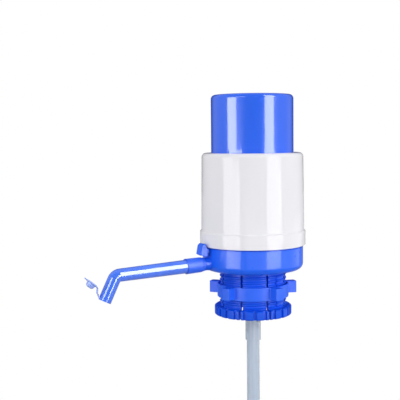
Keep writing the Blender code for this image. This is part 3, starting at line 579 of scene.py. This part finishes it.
def collet_section(angle, crown_cut):
    """A finger's closed (radius, height) section at an angle, its thread in step with the helix."""
    top = 1.5
    thread_low = CROWN_TOP + 1.2
    bore = 28.4
    shift = THREAD_PITCH * angle / math.tau
    points = [(THREAD_ROOT, top)]
    first = math.ceil((top + 6 - shift) / THREAD_PITCH) + 1
    for k in range(first, first - 13, -1):
        for dz, height in THREAD_SHAPE:
            z = k * THREAD_PITCH + shift + dz
            inside = thread_low < z < top
            r = THREAD_ROOT + height if inside else THREAD_ROOT
            points.append((r, min(top, max(thread_low, z))))
    side = CROWN_R - crown_cut
    face = CROWN_FACE_R - crown_cut * 0.75
    points += [
        (THREAD_ROOT, CROWN_TOP + 0.5), (THREAD_ROOT + 0.5, CROWN_TOP), (face, CROWN_TOP),
        (side - 0.25, CROWN_TOP - 0.6), (side, CROWN_TOP - 1.2), (side, CROWN_LOW + 1.2),
        (side - 0.25, CROWN_LOW + 0.55), (face, CROWN_LOW), (bore + 0.5, CROWN_LOW),
        (bore, CROWN_LOW + 0.55), (bore, top)]
    return points


def add_finger(build, start, columns):
    """One finger from the slot at an angle to the next, its sides along the slots."""
    pitch = math.tau / FINGERS
    first, last = columns[0][0], columns[-1][0]
    sections = []
    for degrees, cut in columns:
        share = (degrees - first) / (last - first)
        section = []
        for r, z in collet_section(start + math.radians(degrees), cut):
            edge = math.asin(SLOT_HALF / r)
            a = start + edge + share * (pitch - 2 * edge)
            section.append(Vector((r * math.cos(a), r * math.sin(a), z)) * MM)
        sections.append(section)
    loft_into(build, sections)


def make_collet():
    """Eight threaded fingers under a plate, each ending in a piece of the grooved crown."""
    build = bmesh.new()
    columns = crown_columns(math.degrees(math.asin(SLOT_HALF / THREAD_ROOT)))
    for finger in range(FINGERS):
        add_finger(build, SLOT_FIRST + finger * math.tau / FINGERS, columns)
    plate = rounded([
        (31.45, 3.68, 0.3), (31.45, 1.4), (28.4, 1.4), (28.4, 2.15),
        (8.25, 2.15, 0.2), (8.25, 3.68, 0.2)], 3)
    turn_into(build, plate, 128)
    mesh = mesh_from("neck_collet_fine", build)
    finish_mesh("neck_collet_fine", mesh, "pump_body", "collet_blue", ["neck_collet"], sharp_deg=40)


# --- Locking ring -----------------------------------------------------------------------------
LOBE_FIRST = math.radians(203.6)
LOBES = 5
LOBE_TIP, LOBE_HALF = 43.98, 4.3
NUT_R, NUT_BORE = 34.75, 32.9


def lobed_outline():
    """The ring seen from above: a circle with a square-ended lobe at each fifth."""
    foot = math.asin(LOBE_HALF / NUT_R)
    foot_r = NUT_R * math.cos(foot)
    crowned = LOBE_TIP - 0.1
    span = math.tau / LOBES - 2 * foot
    steps = 14
    corners = []
    for k in range(LOBES):
        a = LOBE_FIRST + k * math.tau / LOBES
        out = Vector((math.cos(a), math.sin(a)))
        side = Vector((-math.sin(a), math.cos(a)))
        for along, across, fillet in (
                (foot_r, -LOBE_HALF, 0.6), (crowned, -LOBE_HALF, 0.5), (LOBE_TIP, 0, 0),
                (crowned, LOBE_HALF, 0.5), (foot_r, LOBE_HALF, 0.6)):
            p = out * along + side * across
            corners.append((p.x, p.y, fillet))
        for i in range(1, steps):
            b = a + foot + span * i / steps
            corners.append((NUT_R * math.cos(b), NUT_R * math.sin(b)))
    return [tuple(p) for p in rounded(corners)]


def circle(radius, sides):
    angles = [math.tau * i / sides for i in range(sides)]
    return [(radius * math.cos(a), radius * math.sin(a)) for a in angles]


def make_locking_ring():
    """A turned nut joined with its lobes, which are a little lower than it is."""
    low, top = heights_of("locking_ring")
    lobe_low, lobe_top = low + 1.3, top - 0.12
    place = Matrix.Translation((0, 0, (lobe_low + lobe_top) / 2 * MM))
    outlines = [lobed_outline(), circle((NUT_BORE + NUT_R) / 2, 96)]
    lobes = outline_solid("lobes", outlines, lobe_top - lobe_low, 0.4, place)
    nut_r = NUT_R + 0.06
    nut = turned("locking_ring_fine", [
        (nut_r, top, 0.45), (nut_r, low, 0.45), (NUT_BORE, low, 0.4), (NUT_BORE, top, 0.4)],
        "locking_ring", "ring_blue", ["locking_ring"], steps=160)
    boolean(nut, lobes, "UNION")


# --- Dip tube ---------------------------------------------------------------------------------
COUPLING_BORE = 6.55


def make_tube_length(node):
    low, top = heights_of(node)
    r = radius_of(node)
    bore = r - 1.2
    return turned(node + "_fine", [(r, top, 0.3), (r, low, 0.3), (bore, low, 0.3), (bore, top, 0.3)],
                  "pump_body", "clear_tube", [node], steps=72, arc_steps=3)


def notch_foot(tube, low):
    """Four notches at the tube's foot, cut two at a time right across it."""
    outline = rounded([(-1.5, -4.0), (1.5, -4.0), (1.5, 4.0, 1.4), (-1.5, 4.0, 1.4)], 4)
    for k in range(2):
        turn = Matrix.Rotation(math.radians(45 + 90 * k), 4, "Z")
        place = Matrix.Translation((0, 0, low * MM)) @ turn @ upright()
        boolean(tube, outline_solid("notch", [outline], 20.0, 0.05, place))


def make_coupling(node):
    """A short sleeve over the joint of two lengths, with a shallow groove round its middle."""
    low, top = heights_of(node)
    r = radius_of(node)
    groove_r = r - 0.25
    middle = (low + top) / 2
    turned(node + "_fine", [
        (r, top, 0.5), (r, middle + 1.2, 0.3), (groove_r, middle + 0.8, 0.2),
        (groove_r, middle - 0.8, 0.2), (r, middle - 1.2, 0.3), (r, low, 0.5),
        (COUPLING_BORE, low, 0.2), (COUPLING_BORE, top, 0.2)],
        "pump_body", "clear_tube", [node], steps=72, arc_steps=3)


def make_adapter():
    """The stepped tube between the column's spigot and the dip tube."""
    low, top = heights_of("tube_adapter")
    r = radius_of("tube_adapter")
    turned("tube_adapter_fine", [
        (r, top, 0.5), (r, low, 0.6), (COUPLING_BORE, low, 0.3), (COUPLING_BORE, -40.0),
        (4.6, -39.6), (4.6, -14.8), (5.9, -14.4), (5.9, top, 0.3)],
        "pump_body", "clear_tube", ["tube_adapter"], steps=72, arc_steps=4)


def make_tubes():
    make_tube_length("dip_tube_upper")
    make_tube_length("dip_tube_middle")
    lowest = make_tube_length("dip_tube_lower")
    notch_foot(lowest, heights_of("dip_tube_lower")[0])
    make_coupling("tube_coupling_upper")
    make_coupling("tube_coupling_lower")
    make_adapter()


# --- Spout ------------------------------------------------------------------------------------
ROOT_R, CORNER_R, TUBE_R, MOUTH_R = 6.48, 6.0, 5.98, 6.03  # outer radii along the tube


def spout_frames():
    """The tube's centreline, from its sleeve to its mouth, as (point, direction, outer radius)."""
    setback = BEND * math.tan(TURN / 2)
    start, end = 12.0, CORNER - setback
    frames = []
    for i in range(9):
        x = start + (end - start) * i / 8
        r = ROOT_R + (CORNER_R - ROOT_R) * i / 8
        frames.append((SPOUT_ROOT + SPOUT_AXIS * x * MM, SPOUT_AXIS, r))
    centre = SPOUT_ROOT + SPOUT_AXIS * end * MM - SPOUT_UP * BEND * MM
    for i in range(1, 15):
        a = TURN * i / 14
        point = centre + (SPOUT_UP * math.cos(a) + SPOUT_AXIS * math.sin(a)) * BEND * MM
        direction = SPOUT_AXIS * math.cos(a) - SPOUT_UP * math.sin(a)
        frames.append((point, direction, TUBE_R))
    for i in range(1, 7):
        point = MOUTH - OUTLET * ((LEG - setback) * (1 - i / 6)) * MM
        frames.append((point, OUTLET, TUBE_R + (MOUTH_R - TUBE_R) * i / 6))
    return frames


def tube_ring(point, direction, radius, sides=96):
    across = Vector((0, 1, 0))
    up = direction.cross(across).normalized()
    ring = []
    for k in range(sides):
        a = math.tau * k / sides
        ring.append(point + (across * math.cos(a) + up * math.sin(a)) * radius * MM)
    return ring


def make_spout_tube():
    """The bent tube: its outside, a rounded lip at the mouth, and its bore back to the sleeve."""
    wall, lip = 1.1, 0.25
    outer = spout_frames()
    rings = [tube_ring(*section) for section in outer[:-1]]
    point, direction, r = outer[-1]
    for back, inset in ((lip, 0.0), (lip * 0.3, lip * 0.3), (0.0, lip), (0.0, wall - lip * 0.6)):
        rings.append(tube_ring(point - direction * back * MM, direction, r - inset))
    for point, direction, r in outer[::-1]:
        rings.append(tube_ring(point, direction, r - wall))
    build = bmesh.new()
    loft_into(build, rings + [rings[0]], closed_ends=False)
    bmesh.ops.remove_doubles(build, verts=build.verts, dist=SAME_POINT)
    mesh = mesh_from("spout_tube_fine", build)
    finish_mesh("spout_tube_fine", mesh, "spout", "spout_blue", ["spout_tube"], sharp_deg=50)


def make_spout_sleeve():
    """The sleeve that joins the tube to the nipple, stepped near the base."""
    corners = [
        (6.5, 5.4, 0.3), (6.6, 7.5, 0.2), (7.05, 8.0, 0.3), (7.1, 9.5), (7.2, 15.0), (7.3, 22.4),
        (7.33, 23.0, 0.15), (7.33, 24.1, 0.35), (6.8, 24.1, 0.15), (6.8, 11.6), (6.05, 11.6),
        (6.05, 5.4, 0.3)]
    turned("spout_sleeve_fine", corners[::-1],
           "spout", "sleeve_blue", ["spout_sleeve"], steps=96, arc_steps=4, place=ALONG)


# --- Spout cap and tether ---------------------------------------------------------------------
OPEN_DEG = 193.1
HINGE = Vector(joint("spout_cap_hinge")["pos_m"])
HINGE_AXIS = Vector(joint("spout_cap_hinge")["axis"])
TETHER_WIDTH = 3.1


def ribbon_into(build, path, width, thick):
    """A flat strap with rounded edges, its path measured along OUTLET and OUTWARD from the mouth."""
    sides = 16
    sections = []
    for i, here in enumerate(path):
        before = Vector(path[max(0, i - 1)])
        after = Vector(path[min(len(path) - 1, i + 1)])
        run = (after - before).normalized()
        normal = Vector((-run.y, run.x))
        ring = []
        for k in range(sides):
            a = math.tau * k / sides
            c, s = math.cos(a), math.sin(a)
            across = width / 2 * math.copysign(abs(c) ** 0.35, c)
            depth = thick / 2 * math.copysign(abs(s) ** 0.8, s)
            flat = Vector(here) + normal * depth
            centre = MOUTH + OUTLET * flat.x * MM + OUTWARD * flat.y * MM
            ring.append(centre + Vector((0, across * MM, 0)))
        sections.append(ring)
    loft_into(build, sections)


def smooth_path(points, steps=6):
    """A Catmull-Rom curve through a few chosen points."""
    found = []
    padded = [Vector(p) for p in (points[0], *points, points[-1])]
    for a, b, c, d in zip(padded, padded[1:], padded[2:], padded[3:]):
        for i in range(steps):
            t = i / steps
            square = (2 * a - 5 * b + 4 * c - d) * t * t
            cube = (3 * b - a - 3 * c + d) * t ** 3
            found.append(tuple(0.5 * (2 * b + (c - a) * t + square + cube)))
    found.append(tuple(points[-1]))
    return found


def cap_disc():
    """The plug and flange of the cap, as (radius, height) with +height out of the mouth."""
    flange = [
        (3.0, 1.68, 0.4), (5.3, 1.68, 0.3), (5.88, 1.2, 0.3), (5.88, 0.65, 0.25), (5.5, 0.42, 0.2)]
    plug = [
        (4.52, 0.42, 0.3), (4.1, -0.8, 0.8), (3.88, -2.0, 1.4), (3.15, -3.1, 1.2), (1.8, -3.55, 1.0),
        (0, -3.58)]
    hollow = [(0, -2.4), (1.6, -2.1, 0.6), (2.7, -0.8, 0.5)]
    return rounded(hollow + flange + plug, 6)


def make_spout_cap():
    """Built closed over the mouth, then turned open about the tether's hinge."""
    build = bmesh.new()
    turn_into(build, cap_disc(), 72, frame_at(MOUTH, OUTLET, OUTWARD))
    strap = [(0.9, 5.0), (0.9, 6.2), (0.45, 7.25), (-0.6, 8.1), (-2.2, 9.1), (-3.5, 9.95)]
    ribbon_into(build, smooth_path(strap), TETHER_WIDTH, 0.9)
    tab = [(0.95, -5.2), (0.95, -6.3), (1.0, -7.3), (1.1, -8.0)]
    ribbon_into(build, smooth_path(tab), 3.6, 0.95)
    turn = Matrix.Rotation(math.radians(-OPEN_DEG), 4, HINGE_AXIS)
    opened = Matrix.Translation(HINGE) @ turn @ Matrix.Translation(-HINGE)
    bmesh.ops.transform(build, matrix=opened, verts=build.verts)
    mesh = mesh_from("spout_cap_fine", build)
    finish_mesh("spout_cap_fine", mesh, "spout_cap", "cap_pale", ["spout_cap"], sharp_deg=50)


def make_tether_lug():
    """The end of the tether that stays on the spout, from the mouth's edge to the hinge."""
    build = bmesh.new()
    path = [(-1.2, 5.3), (-1.6, 6.2), (-2.4, 7.3), (-3.25, 8.15), (-4.05, 8.75)]
    ribbon_into(build, smooth_path(path), TETHER_WIDTH, 1.0)
    finish_mesh("tether_lug", mesh_from("tether_lug", build), "spout", "cap_pale", sharp_deg=50)


# --- Release lever ----------------------------------------------------------------------------
LEVER_WIDTH, POCKET_WIDTH, SLOT_WIDTH = 10.36, 7.6, 3.8


def make_lever():
    """A hooked lever, hollowed behind its face and slotted for the base's tongue."""
    side = rounded([
        (-50.35, 27.25, 0.3), (-50.35, 24.4), (-51.15, 23.2, 0.3), (-51.15, 19.85, 0.4),
        (-55.4, 19.75, 1.0), (-59.35, 21.7, 0.6), (-57.7, 30.2, 2.6), (-55.6, 32.0, 2.2),
        (-53.7, 31.7, 1.0), (-52.8, 28.2), (-52.4, 27.25, 0.3)], 7)
    mesh = outline_solid("release_lever_fine", [side], LEVER_WIDTH, 0.55, upright())
    lever = finish_mesh("release_lever_fine", mesh, "release_lever", "base_blue",
                        ["release_lever"], sharp_deg=50)
    pocket = rounded([
        (-54.2, 18.0), (-58.1, 18.0), (-58.1, 22.3, 0.4), (-56.3, 30.3, 1.2), (-54.2, 30.3, 0.6)], 5)
    boolean(lever, outline_solid("lever_pocket", [pocket], POCKET_WIDTH, 0.3, upright()))
    slot = rounded([(-47.8, 22.0), (-54.3, 22.0), (-54.3, 28.6, 0.4), (-47.8, 28.6)], 4)
    boolean(lever, outline_solid("lever_slot", [slot], SLOT_WIDTH, 0.2, upright()))


# --- Springs ----------------------------------------------------------------------------------
VALVE_X = 30.0  # the valve's distance from the pump's axis


def make_coil(node, centre_x, wire, mean, turns, per_turn):
    """A coil with a closed turn at each end."""
    sides = 12
    low, top = heights_of(node)
    first, last = low + wire, top - wire
    rise = 2.3 * wire
    closed = 0.9 / turns
    sections = []
    for i in range(turns * per_turn + 1):
        share = i / (turns * per_turn)
        if share < closed:
            z = first + rise * share / closed
        elif share > 1 - closed:
            z = last - rise * (1 - share) / closed
        else:
            z = first + rise + (last - first - 2 * rise) * (share - closed) / (1 - 2 * closed)
        a = math.tau * turns * share
        out = Vector((math.cos(a), math.sin(a), 0))
        centre = out * mean + Vector((centre_x, 0, z))
        section = []
        for x, y in circle(wire, sides):
            section.append((centre + out * x + Vector((0, 0, y))) * MM)
        sections.append(section)
    build = bmesh.new()
    loft_into(build, sections)
    spring = finish_mesh(node + "_fine", mesh_from(node + "_fine", build), "pump_body", "steel",
                         [node], sharp_deg=60)
    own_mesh(spring)


def make_springs():
    make_coil("return_spring", 0.0, wire=1.08, mean=17.0, turns=8, per_turn=48)
    make_coil("valve_spring", VALVE_X, wire=0.24, mean=3.4, turns=4, per_turn=32)


# --- Floor, light and camera ------------------------------------------------------------------
CAMERA_AZIMUTH = -30.0
CAMERA_DISTANCE = 0.828
CAMERA_HEIGHT = 0.1342
LENS = 76.5
YAW = math.radians(3.54108)  # the camera looks a little past the pump's axis
PITCH = math.radians(4.33942)
ROLL = math.radians(0.55)
FILL = 0.74  # even room light on rough surfaces
BODY_MIDDLE = Vector((0, 0, 0.05))
FLOOR_R = 8.0
FLOOR_GAP = 0.0004  # the tube's foot stays this far above the floor


def from_camera_side(azimuth_deg):
    """A level unit vector from the pump's axis; 0 points to the camera and 90 to the picture's right."""
    a = math.radians(CAMERA_AZIMUTH)
    back = Vector((math.sin(a), -math.cos(a), 0))
    right = Vector((math.cos(a), math.sin(a), 0))
    b = math.radians(azimuth_deg)
    return back * math.cos(b) + right * math.sin(b)


def make_camera():
    data = bpy.data.cameras.new("camera")
    data.sensor_width = 36.0
    data.lens = LENS
    data.clip_start = 0.01
    camera = bpy.data.objects.new("camera", data)
    link(camera)
    camera.location = from_camera_side(0) * CAMERA_DISTANCE + Vector((0, 0, CAMERA_HEIGHT))
    forward = Matrix.Rotation(YAW, 3, "Z") @ (-from_camera_side(0))
    forward = forward * math.cos(PITCH) + Vector((0, 0, -math.sin(PITCH)))
    turn = forward.to_track_quat("-Z", "Y").to_matrix() @ Matrix.Rotation(-ROLL, 3, "Z")
    camera.rotation_euler = turn.to_euler()
    bpy.context.scene.camera = camera


def area_light(name, place, facing, width, tall, radiance, glossy):
    """A rectangular studio light: a glossy one is only seen reflected, others only light surfaces."""
    data = bpy.data.lights.new(name, "AREA")
    data.shape = "RECTANGLE"
    data.size = width
    data.size_y = tall
    data.energy = radiance * math.pi * width * tall
    light = bpy.data.objects.new(name, data)
    link(light)
    light.visible_camera = False
    light.visible_diffuse = not glossy
    light.visible_glossy = glossy
    light.visible_transmission = not glossy
    light.location = place
    light.rotation_euler = facing.to_track_quat("-Z", "Y").to_euler()


def softbox(name, azimuth, distance, height, width, tall, radiance):
    """A panel that faces the middle of the pump's body."""
    place = from_camera_side(azimuth) * distance + Vector((0, 0, height))
    facing = BODY_MIDDLE - place
    area_light(name, place, facing, width, tall, radiance, glossy=False)


def reflector(name, azimuth, distance, left, right, low, high, radiance):
    """An upright panel facing the axis, between two distances across it and two heights."""
    out = from_camera_side(azimuth)
    across = from_camera_side(azimuth + 90)
    place = out * distance + across * (left + right) / 2 + Vector((0, 0, (low + high) / 2))
    area_light(name, place, -out, right - left, high - low, radiance, glossy=True)


# Upright panels seen in reflections: azimuth, distance, left, right, low, high and radiance
REFLECTORS = {
    "left_base_reflector": (-56.0, 1.2, -0.085, 0.666, -0.215, -0.125, 10.0),
    "left_shell_reflector": (-56.0, 1.2, -0.22, 0.655, -0.125, 0.10, 10.0),
    "left_high_reflector": (-56.0, 1.2, -0.303, 0.274, 0.10, 0.34, 10.0),
    "right_low_reflector": (50.0, 1.0, -0.345, 0.28, -0.178, 0.10, 10.0),
    "right_high_reflector": (50.0, 1.0, -0.285, 0.195, 0.10, 0.34, 10.0),
    "right_wash": (24.0, 1.3, -1.0, 0.50, -0.60, -0.06, 1.9),
    "outlet_reflector": (-32.0, 1.3, -0.34, 0.26, 0.40, 0.68, 7.0),
    "far_right_wash": (98.0, 1.3, -0.60, 0.80, -0.60, -0.06, 1.6),
    "spout_reflector": (50.0, 1.0, -0.22, 0.30, 0.34, 1.20, 10.0),
}
# Lights that are not reflected: azimuth, distance, height, width, tall and radiance
SOFTBOXES = {
    "left_softbox": (-62.0, 1.6, 0.35, 1.0, 1.0, 2.4),
    "right_softbox": (60.0, 1.6, 0.35, 1.0, 1.0, 3.6),
    "front_softbox": (5.0, 2.2, 0.9, 1.2, 1.0, 1.4),
}


def make_lights():
    for name, values in REFLECTORS.items():
        reflector(name, *values)
    for name, values in SOFTBOXES.items():
        softbox(name, *values)


def background(tree, level):
    """An even background of one grey level."""
    node = tree.nodes.new("ShaderNodeBackground")
    node.inputs["Color"].default_value = (level, level, level, 1)
    return node


def switched(tree, ray, no, yes):
    """One shader's output for rays of a kind, and another's for the rest."""
    path = tree.nodes.new("ShaderNodeLightPath")
    node = tree.nodes.new("ShaderNodeMixShader")
    tree.links.new(path.outputs[ray], node.inputs["Fac"])
    tree.links.new(no, node.inputs[1])
    tree.links.new(yes, node.inputs[2])
    return node.outputs["Shader"]


def make_stage():
    """A floor that is white to the camera and grey paper to everything else."""
    place = Matrix.Translation((0, 0, CAD_BOX[0].z - FLOOR_GAP))
    build = bmesh.new()
    bmesh.ops.create_circle(build, cap_ends=True, cap_tris=True, segments=96, radius=FLOOR_R,
                            matrix=place)
    mesh = mesh_from("floor", build)
    floor = bpy.data.objects.new("floor", mesh)
    link(floor)
    paper, tree, shader = new_material("paper", (0.45, 0.45, 0.45), 0.9)
    glow = tree.nodes.new("ShaderNodeEmission")
    glow.inputs["Color"].default_value = (1, 1, 1, 1)
    glow.inputs["Strength"].default_value = 1.0
    shown = switched(tree, "Is Camera Ray", shader.outputs["BSDF"], glow.outputs["Emission"])
    tree.links.new(shown, tree.nodes["Material Output"].inputs["Surface"])
    mesh.materials.append(paper)


# Brightness of the room's reflections, from behind the object (-1) to the camera's side (1)
ROOM = ((-1.0, 0.02), (-0.86, 0.05), (-0.6, 0.55), (0.0, 0.65), (0.35, 0.35), (0.7, 0.06),
        (1.0, 0.06))


def make_world():
    """White to the camera, even to rough surfaces, and bright at both sides in reflections."""
    world = bpy.data.worlds.new("studio")
    bpy.context.scene.world = world
    world.use_nodes = True
    tree = world.node_tree
    tree.nodes.clear()
    output = tree.nodes.new("ShaderNodeOutputWorld")
    coords = tree.nodes.new("ShaderNodeTexCoord")
    facing = tree.nodes.new("ShaderNodeVectorMath")
    facing.operation = "DOT_PRODUCT"
    facing.inputs[1].default_value = from_camera_side(0)
    tree.links.new(coords.outputs["Generated"], facing.inputs[0])
    position = tree.nodes.new("ShaderNodeMath")  # -1 to 1 becomes 0 to 1
    position.operation = "MULTIPLY_ADD"
    position.inputs[1].default_value = 0.5
    position.inputs[2].default_value = 0.5
    tree.links.new(facing.outputs["Value"], position.inputs[0])
    room = tree.nodes.new("ShaderNodeValToRGB")
    stops = room.color_ramp.elements
    while len(stops) < len(ROOM):
        stops.new(0.5)
    for stop, (where, level) in zip(stops, ROOM):
        stop.position = where * 0.5 + 0.5
        stop.color = (level, level, level, 1.0)
    tree.links.new(position.outputs["Value"], room.inputs["Fac"])
    glossy = tree.nodes.new("ShaderNodeBackground")
    tree.links.new(room.outputs["Color"], glossy.inputs["Color"])
    fill = background(tree, FILL).outputs["Background"]
    white = background(tree, 1.0).outputs["Background"]
    lit = switched(tree, "Is Glossy Ray", fill, glossy.outputs["Background"])
    shown = switched(tree, "Is Camera Ray", lit, white)
    tree.links.new(shown, output.inputs["Surface"])


def dress_cad_nodes():
    """The CAD nodes that stay take their slot's material."""
    slot_of = {s["node"]: s["material_slot"] for s in frame["record"]["subparts"]}
    for node, thing in frame["nodes"].items():
        material = MATERIALS[slot_of[node]]
        if thing.data.materials:
            thing.data.materials[0] = material
        else:
            thing.data.materials.append(material)
        thing.data.shade_smooth()
        thing.data.set_sharp_from_angle(angle=math.radians(CAD_SMOOTH_DEG))


bpy.context.scene.view_settings.view_transform = "Standard"
make_camera()
dress_cad_nodes()
make_press_cap()
make_cover_shell()
make_base()
make_collet()
make_locking_ring()
make_tubes()
make_spout_tube()
make_spout_sleeve()
make_spout_cap()
make_tether_lug()
make_lever()
make_springs()
make_lights()
make_stage()
make_world()

bpy.context.view_layer.update()
